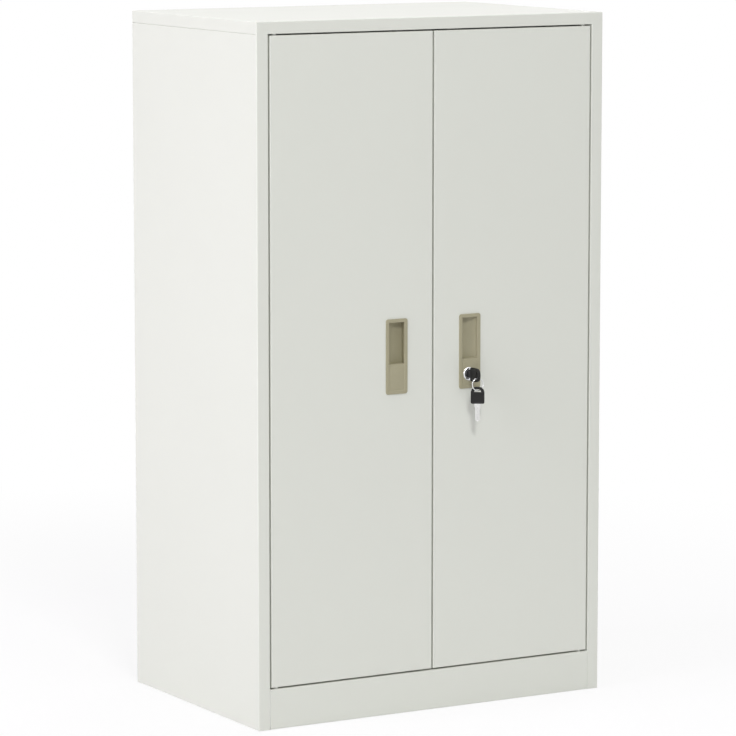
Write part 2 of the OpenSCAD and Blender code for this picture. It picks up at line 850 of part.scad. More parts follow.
// Straps welded to the door's lip, two over each bolt
module bolt_straps() {
    tip = side_h - door_gap - bolt_rest;
    leg_x = bolt_w / 2 + slide_fit + strap_t / 2;
    crown_y = bolt_y + rod_t + seat_gap + strap_t / 2;
    color(steel) both_ends() for (drop = strap_drops)
        translate([bolt_x, 0, 0]) upright(tip - drop - strap_h, tip - drop) folded([
            [-leg_x, door_back], [-leg_x, crown_y], [leg_x, crown_y], [leg_x, door_back]],
            strap_t, strap_t * 0.7);
}

// ---- Lock, rods and guides on the right door ----

// Places children at a depth on the lock's axis, with their Z into the door
module on_lock_axis(depth) {
    translate([lock_x, front_y + depth, lock_z]) rotate([-90, 0, 0]) children();
}

// Chromed barrel: a dished ring in front of the plate and a body through the door
module lock_barrel() {
    bore_r = plug_d / 2 + run_fit;
    face = plate_t - sunk;
    color(chrome) on_lock_axis(0) rotate_extrude($fn = 96) polygon([
        [bore_r, -face - bezel_t + 0.8], [bore_r + 0.8, -face - bezel_t],
        [bezel_d / 2 - 1.6, -face - bezel_t], [bezel_d / 2 - 0.5, -face - bezel_t + 0.5],
        [bezel_d / 2, -face - bezel_t + 1.4], [bezel_d / 2, -face],
        [barrel_d / 2, -face], [barrel_d / 2, barrel_back], [bore_r, barrel_back]]);
}

module lock_washer() {
    color(steel) on_lock_axis(sheet_t) difference() {
        cylinder(h = washer_t, d = barrel_d + 2 * washer_rim);
        translate([0, 0, -bite]) cylinder(h = washer_t + 2 * bite, d = barrel_d + 2 * run_fit);
    }
}

module lock_nut() {
    color(steel) on_lock_axis(sheet_t + washer_t) difference() {
        intersection() {
            cylinder(h = nut_t, d = (barrel_d + 2 * nut_wall) / cos(30), $fn = 6);
            translate([0, 0, -barrel_d]) cylinder(h = 2 * barrel_d, d1 = 2 * barrel_d, d2 = barrel_d + 2);
        }
        translate([0, 0, -bite]) cylinder(h = nut_t + 2 * bite, d = barrel_d + 2 * run_fit);
    }
}

// Turning plug with its keyway, wide at the mouth for the key's shoulder
module lock_plug() {
    color(chrome) on_lock_axis(0) difference() {
        translate([0, 0, -plug_front])
            cylinder(h = plug_front + barrel_back + seat_gap, d = plug_d);
        keyway(blade_w, blade_l - key_seat + keyway_fit);
        keyway(shoulder_w, mouth_l - plug_front);
    }
}

// Slot for a blade of width w, from in front of the plug down to a depth
module keyway(w, depth) {
    box([-blade_t / 2 - keyway_fit, -w / 2 - keyway_fit, -plug_front - bite],
        [blade_t / 2 + keyway_fit, w / 2 + keyway_fit, depth]);
}

// Two-armed cam with a pin on each arm; one pin lifts a rod while the other lowers the other
module lock_cam() {
    color(steel) on_lock_axis(barrel_back + seat_gap) rotate([0, 0, 45]) difference() {
        union() {
            linear_extrude(cam_t) {
                square([2 * orbit_r, cam_arm_w], center = true);
                for (x = [-orbit_r, orbit_r]) translate([x, 0]) circle(d = cam_arm_w);
                circle(d = plug_d);
            }
            for (x = [-orbit_r, orbit_r]) translate([x, 0, cam_t / 2])
                cylinder(h = cam_t / 2 + seat_gap + rod_t + 0.6, d = cam_pin_d);
        }
        translate([0, 0, -bite]) cylinder(h = cam_t + 2 * bite, d = cam_screw_d);
        translate([0, 0, cam_t - cam_sink])
            cylinder(h = cam_sink + bite, d1 = cam_screw_d, d2 = cam_screw_d + 2 * (cam_sink + bite));
    }
}

// Countersunk screw, flush with the back of the cam
module cam_screw() {
    color(steel) on_lock_axis(barrel_back + seat_gap) {
        cylinder(h = cam_t - cam_sink, d = cam_screw_d);
        difference() {
            translate([0, 0, cam_t - cam_sink])
                cylinder(h = cam_sink, d1 = cam_screw_d, d2 = cam_screw_d + 2 * cam_sink);
            translate([0, 0, cam_t]) cube([cam_arm_w, 1, cam_sink], center = true);
        }
    }
}

// Flat rod from the cam to the door's edge; its slotted end follows a cam pin
module lock_rod(x, pin_z, tip_z) {
    way = sign(tip_z - pin_z);
    end_z = pin_z - way * (rod_slot_h / 2 + rod_wall);
    color(steel) difference() {
        translate([x, 0, 0]) along_y(rod_y, rod_y + rod_t) polygon([
            [-rod_w / 2, end_z], [rod_w / 2, end_z],
            [rod_w / 2, tip_z - way * rod_taper], [rod_w / 2 - rod_taper, tip_z],
            [-rod_w / 2 + rod_taper, tip_z], [-rod_w / 2, tip_z - way * rod_taper]]);
        box([x - rod_slot_w / 2, rod_y - bite, pin_z - rod_slot_h / 2],
            [x + rod_slot_w / 2, rod_y + rod_t + bite, pin_z + rod_slot_h / 2]);
    }
}

module upper_lock_rod() {
    lock_rod(lock_x + rod_x, lock_z - rod_pin_z, side_h - door_gap - bolt_rest);
}

module lower_lock_rod() {
    lock_rod(lock_x - rod_x, lock_z + rod_pin_z, kick_h + door_gap + bolt_rest);
}

// Nylon block on the door's lip that a rod slides through
module rod_guide(x) {
    top = side_h - door_gap - 2;
    difference() {
        box([x - guide_w / 2, door_back, top - guide_h], [x + guide_w / 2, door_back + guide_back, top]);
        box([x - rod_w / 2 - slide_fit, rod_y - slide_fit, top - guide_h - bite],
            [x + rod_w / 2 + slide_fit, rod_y + rod_t + slide_fit, top + bite]);
    }
}

module rod_guides() {
    color(nylon) {
        rod_guide(lock_x + rod_x);
        at_lower_end() rod_guide(lock_x - rod_x);
    }
}

// ---- Keys ----

// Moulded head on its base at Z = 0, with a sunk panel on each face and an eye for the ring
module head() {
    difference() {
        along_y(-key_t / 2, key_t / 2) difference() {
            translate([-key_w / 2, 0]) polygon(
                rounded_rect(key_w, key_h, [head_corner, head_corner, arch_r, arch_r], arch_steps));
            translate([-eye_l / 2, eye_z - eye_h / 2])
                polygon(rounded_rect(eye_l, eye_h, [eye_r, eye_r, eye_r, eye_r]));
        }
        for (side = [-1, 1])
            translate([0, side * key_t / 2, 0]) along_y(-panel_sunk, panel_sunk)
                translate([-key_w / 2 + panel_in, panel_in]) polygon(rounded_rect(
                    key_w - 2 * panel_in, eye_z - eye_h / 2 - 2 * panel_in, [eye_r, eye_r, eye_r, eye_r]));
        box([-blade_w / 2, -blade_t / 2, -bite], [blade_w / 2, blade_t / 2, tang_l]);
    }
}

// Blade with a tang inside the head, a shoulder, a milled groove on each face and edge cuts
module blade() {
    tip_r = blade_w / 2;
    difference() {
        union() {
            box([-blade_w / 2, -blade_t / 2, -blade_l + tip_r], [blade_w / 2, blade_t / 2, tang_l]);
            box([-shoulder_w / 2, -blade_t / 2, -shoulder_l], [shoulder_w / 2, blade_t / 2, 0]);
            translate([0, 0, -blade_l + tip_r]) rotate([90, 0, 0])
                cylinder(h = blade_t, r = tip_r, center = true);
        }
        for (side = [-1, 1])
            translate([-groove_w / 2, side * blade_t / 2 - groove_d, -blade_l - bite])
                cube([groove_w, 2 * groove_d, blade_l - shoulder_l - bite / 2]);
        for (k = [0 : cut_count - 1])
            translate([blade_w / 2, 0, -shoulder_l - cut_first - cut_pitch * k])
                along_y(-blade_t, blade_t) polygon([
                    [run_fit, -cut_mouth / 2], [run_fit, cut_mouth / 2],
                    [-cut_d[k % 2], cut_floor / 2], [-cut_d[k % 2], -cut_floor / 2]]);
    }
}

// The key in the lock: blade into the plug, head upright in front of it
module in_the_lock() {
    translate([lock_x, front_y - key_seat, lock_z]) rotate([90, -90, 0]) children();
}

module on_the_ring() {
    translate([lock_x, ring_y, hang_z]) rotate([0, 0, hang_turn]) children();
}

module key_head() {
    color(black) in_the_lock() head();
}

module key_blade() {
    color(steel) in_the_lock() blade();
}

// Ring through the eye of the inserted key, hanging level with the doors
module key_ring() {
    color(chrome) translate([lock_x, ring_y, ring_z]) rotate([90, 0, 0])
        rotate_extrude($fn = 48) translate([ring_r, 0]) circle(d = wire_d, $fn = 24);
}

module spare_key_head() {
    color(black) on_the_ring() head();
}

module spare_key_blade() {
    color(steel) on_the_ring() blade();
}

left_side_panel();
right_side_panel();
back_panel();
top_panel();
header_stop();
plinth_panel();
floor_panel();
front_left_shelf_strip();
rear_left_shelf_strip();
front_right_shelf_strip();
rear_right_shelf_strip();
upper_shelf();
lower_shelf();
shelf_clips();
cap_screws();
cap_nuts();
hinge_bushes();
magnetic_catches();
catch_magnets();
door_bumpers();
left_door_panel();
left_door_stiffener();
left_pivot_brackets();
left_pivot_pins();
left_handle_cup();
bolt_straps();
upper_bolt();
lower_bolt();
right_door_panel();
right_door_stiffener();
right_pivot_brackets();
right_pivot_pins();
right_handle_cup();
rod_guides();
upper_lock_rod();
lower_lock_rod();
lock_barrel();
lock_washer();
lock_nut();
lock_plug();
lock_cam();
cam_screw();
key_head();
key_blade();
key_ring();
spare_key_head();
spare_key_blade();
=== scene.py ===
# %% [markdown]
# # A steel tool cabinet with two doors
#
# The cabinet is folded sheet steel with a light grey powder coat. The frame gives its panels,
# doors, shelves and lock as exact parts, so this lesson adds what the frame leaves plain: the
# moulded pulls, the lock's face, the keys on their ring, the finishes and a white studio.
# Lengths are in metres. X runs to the right, Y from the doors to the back, and Z up.

# %% Load the frame
import bpy, bmesh, json, math
from mathutils import Vector, Matrix


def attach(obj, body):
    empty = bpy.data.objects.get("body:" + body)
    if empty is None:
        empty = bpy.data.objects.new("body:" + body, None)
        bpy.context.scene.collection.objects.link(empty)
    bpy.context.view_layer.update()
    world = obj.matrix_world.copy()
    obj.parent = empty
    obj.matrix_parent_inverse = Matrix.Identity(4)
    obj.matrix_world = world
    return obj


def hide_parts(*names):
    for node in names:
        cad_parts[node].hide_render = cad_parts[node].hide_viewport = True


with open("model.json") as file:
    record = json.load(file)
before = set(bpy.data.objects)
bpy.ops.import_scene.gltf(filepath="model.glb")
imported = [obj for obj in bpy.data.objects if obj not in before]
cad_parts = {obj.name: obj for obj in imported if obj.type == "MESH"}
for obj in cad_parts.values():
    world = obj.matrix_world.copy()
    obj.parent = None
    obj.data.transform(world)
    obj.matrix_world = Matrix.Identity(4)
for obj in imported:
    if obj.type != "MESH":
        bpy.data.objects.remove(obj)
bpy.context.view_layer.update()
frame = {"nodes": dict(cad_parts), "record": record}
MM = 0.001
FRONT = -406 * MM

# %% [markdown]
# ## Shader sums as expressions
#
# A finish is easier to read as a sum than as a web of nodes. `Wire` holds one output socket and
# turns Python's operators into Math nodes, also when the number stands on the left, as in
# `1 - wear`. `NodeSheet` adds any other node by its type, to a material or to the world, and
# `Finish` is the sheet of one material.

# %% Wires, node sheets and finishes
class Wire:
    def __init__(self, finish, socket):
        self.finish, self.socket = finish, socket

    def sum(self, operation, *others):
        return self.finish.add("ShaderNodeMath", {"operation": operation},
                               dict(enumerate((self, *others))))

    def __add__(self, other):
        return self.sum("ADD", other)

    def __sub__(self, other):
        return self.sum("SUBTRACT", other)

    def __mul__(self, other):
        return self.sum("MULTIPLY", other)

    def __truediv__(self, other):
        return self.sum("DIVIDE", other)

    def __radd__(self, other):
        return self + other

    def __rmul__(self, other):
        return self * other

    def __rsub__(self, other):
        return self * -1 + other

    def clipped(self):
        return self.sum("MINIMUM", 1).sum("MAXIMUM", 0)


class NodeSheet:
    def __init__(self, tree):
        self.tree = tree

    def add(self, kind, settings=None, sockets=None, output=0):
        node = self.tree.nodes.new(kind)
        for name, value in (settings or {}).items():
            setattr(node, name, value)
        for name, value in (sockets or {}).items():
            if isinstance(value, Wire):
                self.tree.links.new(value.socket, node.inputs[name])
            else:
                node.inputs[name].default_value = value
        return Wire(self, node.outputs[output])

    def seen_directly(self):
        """1 for what the camera sees, straight or through a shine or glass, and 0 for light."""
        rays = [self.add("ShaderNodeLightPath", output=f"Is {kind} Ray")
                for kind in ("Camera", "Glossy", "Transmission")]
        return rays[0].sum("MAXIMUM", rays[1]).sum("MAXIMUM", rays[2])


class Finish(NodeSheet):
    def __init__(self, name, **constants):
        self.material = bpy.data.materials.new(name)
        self.material.use_nodes = True
        super().__init__(self.material.node_tree)
        self.shader = self.tree.nodes["Principled BSDF"]
        for socket, value in constants.items():
            self.shader.inputs[socket.replace("_", " ")].default_value = value
        self.place = self.add("ShaderNodeTexCoord", output="Object")

    def stretched(self, x, y, z):
        return self.add("ShaderNodeMapping", None, {"Vector": self.place, "Scale": (x, y, z)})

    def noise(self, size, detail=2.0, place=None):
        """Cloudy values round 0.5 whose blotches are about size metres across."""
        sockets = {"Vector": place or self.place, "Scale": 1 / size, "Detail": detail}
        return self.add("ShaderNodeTexNoise", None, sockets, "Fac")

    def tint(self, amount, low, high):
        return self.add("ShaderNodeMix", {"data_type": "RGBA"},
                        {"Factor": amount, 6: (*low, 1), 7: (*high, 1)}, 2)

    def bump(self, height, depth, over=None):
        sockets = {"Height": height, "Distance": depth, "Strength": 1.0}
        if over:
            sockets["Normal"] = over
        return self.add("ShaderNodeBump", None, sockets, "Normal")

    def use(self, **links):
        for socket, wire in links.items():
            self.tree.links.new(wire.socket, self.shader.inputs[socket.replace("_", " ")])
        return self.material


# %% [markdown]
# ## The powder coat
#
# Powder is sprayed on dry and melts into one thick skin. Close up, that skin is never a mirror:
# it has a faint orange peel a couple of millimetres across, and a finer grain that softens the
# shine. Both are noise in a Bump node. The colour itself is almost even, so a very weak cloud
# keeps the big flat doors from looking like paper.

# %% Powder coat
def powder_coat(name, low, high):
    coat = Finish(name, Specular_IOR_Level=0.45)
    clouds = coat.noise(0.32, detail=3)
    peel = coat.noise(0.0026, detail=1)
    grain = coat.noise(0.0004, detail=1)
    return coat.use(
        Base_Color=coat.tint(clouds, low, high),
        Roughness=0.46 + 0.08 * coat.noise(0.05) + 0.03 * grain,
        Normal=coat.bump(grain, 0.000006, over=coat.bump(peel, 0.00002)))


sheet_coat = powder_coat("light_grey_powder_coat", (0.726, 0.745, 0.678), (0.740, 0.759, 0.692))
inner_coat = powder_coat("inside_powder_coat", (0.730, 0.740, 0.686), (0.748, 0.758, 0.704))

# %% [markdown]
# ## Plastics, rubber and metals
#
# Moulded plastic copies the spark-eroded wall of its mould, so it gets a fine even grain. Zinc
# plate has soft spangles. Chrome is nearly clean, but a lock that is used has hair scratches, so
# a noise is stretched into lines. On the keys' steel the lines run up and down, which is along
# the blade of the key that hangs.

# %% Plastic, rubber and metal finishes
def moulded(name, low, high, roughness, grain_size, grain_depth, sheen=0.5):
    plastic = Finish(name, Specular_IOR_Level=sheen)
    grain = plastic.noise(grain_size, detail=2)
    return plastic.use(
        Base_Color=plastic.tint(plastic.noise(0.012, detail=3), low, high),
        Roughness=roughness + 0.10 * (grain - 0.5) + 0.06 * (plastic.noise(0.006) - 0.5),
        Normal=plastic.bump(grain, grain_depth))


def bare_metal(name, low, high, roughness, scratch=(1, 1, 1), scratch_size=0.0006, depth=0.000004):
    metal = Finish(name, Metallic=1.0)
    lines = metal.noise(scratch_size, detail=3, place=metal.stretched(*scratch))
    spangle = metal.noise(0.004, detail=2)
    return metal.use(
        Base_Color=metal.tint(spangle, low, high),
        Roughness=(roughness + 0.22 * (lines - 0.5) + 0.12 * (spangle - 0.5)).clipped(),
        Normal=metal.bump(lines, depth))


khaki_plastic = moulded("khaki_moulded_plastic", (0.350, 0.326, 0.214), (0.372, 0.347, 0.232),
                        roughness=0.48, grain_size=0.0005, grain_depth=0.000010)
nylon = moulded("natural_nylon", (0.90, 0.90, 0.87), (0.94, 0.94, 0.92),
                roughness=0.42, grain_size=0.0006, grain_depth=0.000008)
black_plastic = moulded("black_key_plastic", (0.006, 0.006, 0.006), (0.010, 0.010, 0.009),
                        roughness=0.44, grain_size=0.0004, grain_depth=0.000010, sheen=0.32)
black_rubber = moulded("black_rubber", (0.018, 0.018, 0.017), (0.028, 0.027, 0.026),
                       roughness=0.70, grain_size=0.0007, grain_depth=0.000014, sheen=0.3)
zinc_plate = bare_metal("zinc_plate", (0.60, 0.62, 0.64), (0.74, 0.75, 0.76), roughness=0.34)
polished_chrome = bare_metal("polished_chrome", (0.78, 0.79, 0.80), (0.84, 0.85, 0.86),
                             roughness=0.10, scratch=(1, 1, 9), scratch_size=0.002, depth=0.000001)
key_steel = bare_metal("milled_key_steel", (0.68, 0.68, 0.67), (0.80, 0.80, 0.79),
                       roughness=0.22, scratch=(14, 14, 1), scratch_size=0.004, depth=0.000003)
# painted shade and reflection: the plug's near-black base colour stands in for the key head's shadow
# on the plug and the black head mirrored in its metal
plug_metal_painted_shade = bare_metal("plug_metal_painted_shade_and_reflection", (0.075, 0.075, 0.078), (0.11, 0.11, 0.115),
                        roughness=0.30, scratch=(1, 1, 9), scratch_size=0.002, depth=0.000001)
# painted shade: a near-black material for the inside of the keyway, where the real slot is dark for
# lack of light
slot_shadow = moulded("keyway_shadow", (0.004, 0.004, 0.004), (0.008, 0.008, 0.008),
                      roughness=0.8, grain_size=0.001, grain_depth=0.000004)
print("finishes", len(bpy.data.materials))

# %% [markdown]
# ## Dressing the frame's own parts
#
# The folded panels, doors and shelves already have their true shape, so they keep it and only
# take a finish. The shelves, the floor, the header stop, the shelf strips and the stiffeners
# take a slightly different shade of the same coat.

# %% Finishes by slot
finish_of = {"painted_steel": sheet_coat, "zinc_steel": zinc_plate, "nylon": nylon,
             "handle_plastic": khaki_plastic, "lock_chrome": polished_chrome,
             "key_plastic": black_plastic, "buffer_rubber": black_rubber}
slot_of = {s["node"]: s["material_slot"] for s in frame["record"]["subparts"]}
inside = ("shelf", "floor_panel", "header_stop", "stiffener", "strip")
for node, part in frame["nodes"].items():
    coat = finish_of[slot_of[node]]
    if coat is sheet_coat and any(word in node for word in inside):
        coat = inner_coat
    part.data.materials.clear()
    part.data.materials.append(coat)
print("dressed", len(frame["nodes"]), "frame parts")

# %% [markdown]
# ## Working in edit mode
#
# Every new piece starts as a primitive and is shaped with the same operators that one uses by
# hand. An operator works on whatever is selected, so these helpers clear the selection and then
# pick faces or edges by where they are.

# %% Edit-mode helpers
SAME, NEAR = 0.001 * MM, 0.01 * MM  # places this close count as one
STRAIGHT = 0.9                      # a direction with this much of an axis counts as along it
BEVEL_FROM = math.radians(38)       # folds sharper than this take a bevel


def start(add, name, **settings):
    bpy.ops.object.select_all(action="DESELECT")
    add(**settings)
    piece = bpy.context.object
    piece.name = piece.data.name = name
    bpy.ops.object.transform_apply(location=True, rotation=True, scale=True)
    bpy.ops.object.mode_set(mode="EDIT")
    pick(lambda where, facing: False)
    return piece


def pick(test, kind="FACE"):
    """Selects the faces (or edges) whose centre and direction pass the test."""
    bpy.ops.mesh.select_mode(type=kind)
    bpy.ops.mesh.select_all(action="DESELECT")
    mesh = bpy.context.object.data
    shape = bmesh.from_edit_mesh(mesh)
    for part in (shape.faces if kind == "FACE" else shape.edges):
        if kind == "FACE":
            where, way = part.calc_center_median(), part.normal
        else:
            a, b = (v.co for v in part.verts)
            where, way = (a + b) / 2, (b - a).normalized()
        if test(where, way):
            part.select_set(True)
    shape.select_flush_mode()
    bmesh.update_edit_mesh(mesh)


def cut(axis, at, only=None):
    """Cuts the picked faces with a plane across an axis, without removing anything."""
    if only:
        pick(only)
    normal = Vector((0, 0, 0))
    normal[axis] = 1
    bpy.ops.mesh.bisect(plane_co=normal * at, plane_no=normal)


def push(x=0.0, y=0.0, z=0.0):
    bpy.ops.mesh.extrude_region_move(TRANSFORM_OT_translate={"value": (x, y, z)})


def nudge(x=0.0, y=0.0, z=0.0):
    bpy.ops.transform.translate(value=(x, y, z))


def finish_shape(piece, bevel=0.0, segments=2, wall=0.0, smooth=40, flip=False):
    bpy.ops.mesh.select_all(action="SELECT")
    bpy.ops.mesh.remove_doubles(threshold=SAME)
    if flip:
        bpy.ops.mesh.normals_make_consistent(inside=False)
    bpy.ops.object.mode_set(mode="OBJECT")
    if wall:
        shell = piece.modifiers.new("wall", "SOLIDIFY")
        shell.thickness, shell.offset, shell.use_even_offset = wall, -1, True
        bpy.ops.object.modifier_apply(modifier="wall")
    if bevel:
        edge = piece.modifiers.new("edge", "BEVEL")
        edge.width, edge.segments, edge.limit_method = bevel, segments, "ANGLE"
        edge.angle_limit, edge.use_clamp_overlap = BEVEL_FROM, True
        bpy.ops.object.modifier_apply(modifier="edge")
    bpy.ops.object.shade_smooth_by_angle(angle=math.radians(smooth))


def settle(piece, body, slot, material, *stands_for):
    piece.data.materials.clear()
    piece.data.materials.append(material)
    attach(piece, body)
    if stands_for:
        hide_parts(*stands_for)
    size = [round(v / MM, 1) for v in piece.dimensions]
    print(piece.name, "faces", len(piece.data.polygons), "size mm", size)


# %% [markdown]
# ## The moulded pull
#
# Each pull is one moulding: a face plate with a raised rim, a sunk lower panel, and a pocket
# that sweeps in from the hinge side and runs in behind the grip edge. It is drawn as the front
# skin only. The plate's front face is cut into a grid, the middle is sunk, and the pocket is
# extruded in short steps while its hinge-side edge moves along most of a quarter of an ellipse.
# A Solidify modifier then gives the skin its wall, as the mould does.

# %% Pull
PLATE_W, PLATE_H, PLATE_T = 37.5 * MM, 115 * MM, 1.6 * MM
PLATE_CORNER, PLATE_EDGE = 3.5 * MM, 0.35 * MM
RIM, SUNK, SUNK_LEAN, WALL = 5 * MM, 0.5 * MM, 0.45 * MM, 1.1 * MM
HANDLE_X, HANDLE_Z = 65 * MM, 554 * MM
POCKET_H, POCKET_D, UNDERCUT = 64 * MM, 11 * MM, 2 * MM
BRIDGE_H = 3.2 * MM      # between the pocket and the lower panel
FRAME_W, FRAME_SLOPE, FRAME_RISE = 1.6 * MM, 0.3 * MM, 0.25 * MM
SWEEP = range(6, 79, 6)  # degrees along the pocket's ellipse
GRIP_STEP = 1            # the step of the sweep where the undercut starts
GRIP_LEDGE, GRIP_REACH = 0.02 * MM, 1 * MM
open_x = PLATE_W / 2 - RIM
open_top, open_low = PLATE_H / 2 - RIM, PLATE_H / 2 - RIM - POCKET_H
bridge_low = open_low - BRIDGE_H
low_end = -PLATE_H / 2 + RIM


def faces_front(where, way):
    return way.y < -STRAIGHT


def in_sunk_face(where, way):
    inside = abs(where.x) < open_x and low_end < where.z < open_top
    return faces_front(where, way) and inside and where.y > -PLATE_T + SUNK / 2


def floor_at(depth):
    return lambda where, way: faces_front(where, way) and abs(where.y - depth) < SAME


def upright_edge_at(depth, beside):
    return lambda where, way: abs(where.y - depth) < SAME and abs(way.z) > STRAIGHT and beside(where.x)


def sweep_pocket():
    """Extrudes the picked faces in steps; after one of them the grip side runs in behind the rim."""
    deep_x, hinge_x, sunk_y = open_x + UNDERCUT, -open_x + SUNK_LEAN, -PLATE_T + SUNK
    run, drop = deep_x - hinge_x, POCKET_D - sunk_y
    done_x, done_y = hinge_x, sunk_y
    for number, angle in enumerate(SWEEP):
        x = deep_x - run * math.cos(math.radians(angle))
        y = sunk_y + drop * math.sin(math.radians(angle))
        push(y=y - done_y)
        pick(upright_edge_at(y, lambda edge_x: abs(edge_x - done_x) < NEAR), "EDGE")
        nudge(x=x - done_x)
        if number == GRIP_STEP:
            pick(floor_at(y))
            push(y=GRIP_LEDGE)
            y += GRIP_LEDGE
            pick(upright_edge_at(y, lambda edge_x: edge_x > open_x - GRIP_REACH), "EDGE")
            nudge(x=UNDERCUT + SUNK_LEAN)
        done_x, done_y = x, y
        pick(floor_at(y))


def moulded_pull(name):
    pull = start(bpy.ops.mesh.primitive_cube_add, name, size=1, location=(0, -PLATE_T / 2, 0),
                 scale=(PLATE_W, PLATE_T, PLATE_H))
    pick(lambda where, way: abs(way.y) > STRAIGHT, "EDGE")
    bpy.ops.mesh.bevel(offset=PLATE_CORNER, segments=6, affect="EDGES")
    pick(lambda where, way: way.y > STRAIGHT)
    bpy.ops.mesh.delete(type="FACE")
    for axis, at in ((0, -open_x), (0, open_x), (2, low_end), (2, open_top), (2, open_low),
                     (2, bridge_low)):
        cut(axis, at, faces_front)
    pick(lambda where, way: faces_front(where, way) and abs(where.x) < open_x
         and low_end < where.z < open_top)
    bpy.ops.mesh.inset(thickness=SUNK_LEAN, depth=-SUNK)
    # a low bridge stays between the pocket and the lower panel
    pick(lambda where, way: in_sunk_face(where, way) and where.z < bridge_low)
    bpy.ops.mesh.inset(thickness=FRAME_W, depth=0)
    bpy.ops.mesh.inset(thickness=FRAME_SLOPE, depth=FRAME_RISE)
    pick(lambda where, way: in_sunk_face(where, way) and where.z > open_low)
    sweep_pocket()
    finish_shape(pull, bevel=PLATE_EDGE, segments=3, wall=WALL, smooth=50)
    return pull


def take(piece):
    """Makes one piece the only one that operators work on."""
    bpy.ops.object.select_all(action="DESELECT")
    piece.select_set(True)
    bpy.context.view_layer.objects.active = piece


def place(piece, x, y, z, mirrored=False):
    take(piece)
    piece.location = (x, y, z)
    if mirrored:
        piece.scale = (-1, 1, 1)
    bpy.ops.object.transform_apply(location=True, rotation=True, scale=True)
    if mirrored:
        bpy.ops.object.mode_set(mode="EDIT")
        bpy.ops.mesh.select_all(action="SELECT")
        bpy.ops.mesh.flip_normals()
        bpy.ops.object.mode_set(mode="OBJECT")


left_pull = moulded_pull("left_pull")
place(left_pull, -HANDLE_X, FRONT, HANDLE_Z)
settle(left_pull, "left_door", "handle_plastic", khaki_plastic, "left_handle_cup")
right_pull = moulded_pull("right_pull")
place(right_pull, HANDLE_X, FRONT, HANDLE_Z, mirrored=True)
settle(right_pull, "right_door", "handle_plastic", khaki_plastic, "right_handle_cup")

# %% [markdown]
# ## The lock's barrel
#
# A cabinet lock is a threaded barrel with a chromed ring on its front. A lathe turns it, so here
# it grows the same way: one circle is extruded and resized again and again along the profile of
# the metal. The ring's face swells in a soft curve, because that curve is what catches the
# light. Behind the door the thread is a row of fine grooves.

# %% Turned parts
LOCK_X, LOCK_Z = 63.5 * MM, 519 * MM
# the barrel's profile, in millimetres from its axis and from the door's face
BORE_R, BARREL_R, BEZEL_R, CHAMFER_R = 6.15, 8.0, 10.5, 7.4
BORE_LIP, BEZEL_EDGE, BEZEL_BACK, BARREL_END = -2.55, -2.1, -1.1, 21.5
THREAD_START, THREAD_STEP, THREAD_DEPTH, THREAD_EDGES = 4.6, 0.45, 0.35, 37


def turned(name, profile, vertices=64):
    """Closed ring about the Y axis; the profile is a list of radius and depth in millimetres."""
    first_r, first_y = profile[0]
    piece = start(bpy.ops.mesh.primitive_circle_add, name, vertices=vertices, radius=first_r * MM,
                  location=(0, first_y * MM, 0), rotation=(math.radians(90), 0, 0))
    bpy.ops.mesh.select_mode(type="EDGE")
    bpy.ops.mesh.select_all(action="SELECT")
    for (r, y), (next_r, next_y) in zip(profile, profile[1:] + profile[:1]):
        push(y=(next_y - y) * MM)
        bpy.ops.transform.resize(value=(next_r / r, 1, next_r / r),
                                 center_override=(0, next_y * MM, 0))
    bpy.ops.mesh.select_all(action="SELECT")
    bpy.ops.mesh.remove_doubles(threshold=SAME)
    bpy.ops.mesh.normals_make_consistent(inside=False)
    return piece


swelled_face = [(6.35, -2.95), (6.8, -3.28), (7.5, -3.45), (8.2, -3.5), (8.9, -3.46), (9.5, -3.3),
                (10.0, -3.0), (10.35, -2.6)]
thread = [(BARREL_R - THREAD_DEPTH * (edge % 2), THREAD_START + THREAD_STEP * edge)
          for edge in range(THREAD_EDGES)]
bezel = turned("lock_bezel", [
    (BORE_R, BORE_LIP), *swelled_face, (BEZEL_R, BEZEL_EDGE), (BEZEL_R, BEZEL_BACK),
    (BARREL_R, BEZEL_BACK), *thread, (CHAMFER_R, BARREL_END), (BORE_R, BARREL_END)])
finish_shape(bezel, smooth=32)
place(bezel, LOCK_X, FRONT, LOCK_Z)
settle(bezel, "right_door", "lock_chrome", polished_chrome, "lock_barrel")

# %% [markdown]
# ## The plug and its keyway
#
# The plug is the part that turns with the key. It starts as a cylinder; three pairs of bisect
# cuts across its face mark the keyway, and extruding the marked faces inwards sinks it: a short
# wide mouth for the key's shoulder first, and then the slot for the blade. The slot's walls take
# a near-black material that is painted shade, because little light reaches inside a real one.

# %% Plug
PLUG_R, PLUG_L, PLUG_MIDDLE, PLUG_EDGE = 6 * MM, 25.7 * MM, 8.95 * MM, 0.25 * MM
KEYWAY_W, KEYWAY_H, KEYWAY_D = 2.5 * MM, 8.0 * MM, 20.9 * MM
MOUTH_H, MOUTH_D = 10.1 * MM, 3.4 * MM
SHADOW_FROM = 3.5 * MM  # before the door's face; the keyway's walls are dark behind this
plug = start(bpy.ops.mesh.primitive_cylinder_add, "turning_plug", vertices=64, radius=PLUG_R,
             depth=PLUG_L, location=(0, PLUG_MIDDLE, 0), rotation=(math.radians(90), 0, 0))
for axis, at in ((0, -KEYWAY_W / 2), (0, KEYWAY_W / 2), (2, -MOUTH_H / 2), (2, MOUTH_H / 2),
                 (2, -KEYWAY_H / 2), (2, KEYWAY_H / 2)):
    cut(axis, at, faces_front)


def slot_part(height):
    return lambda where, way: (faces_front(where, way) and abs(where.x) < KEYWAY_W / 2
                               and abs(where.z) < height / 2)


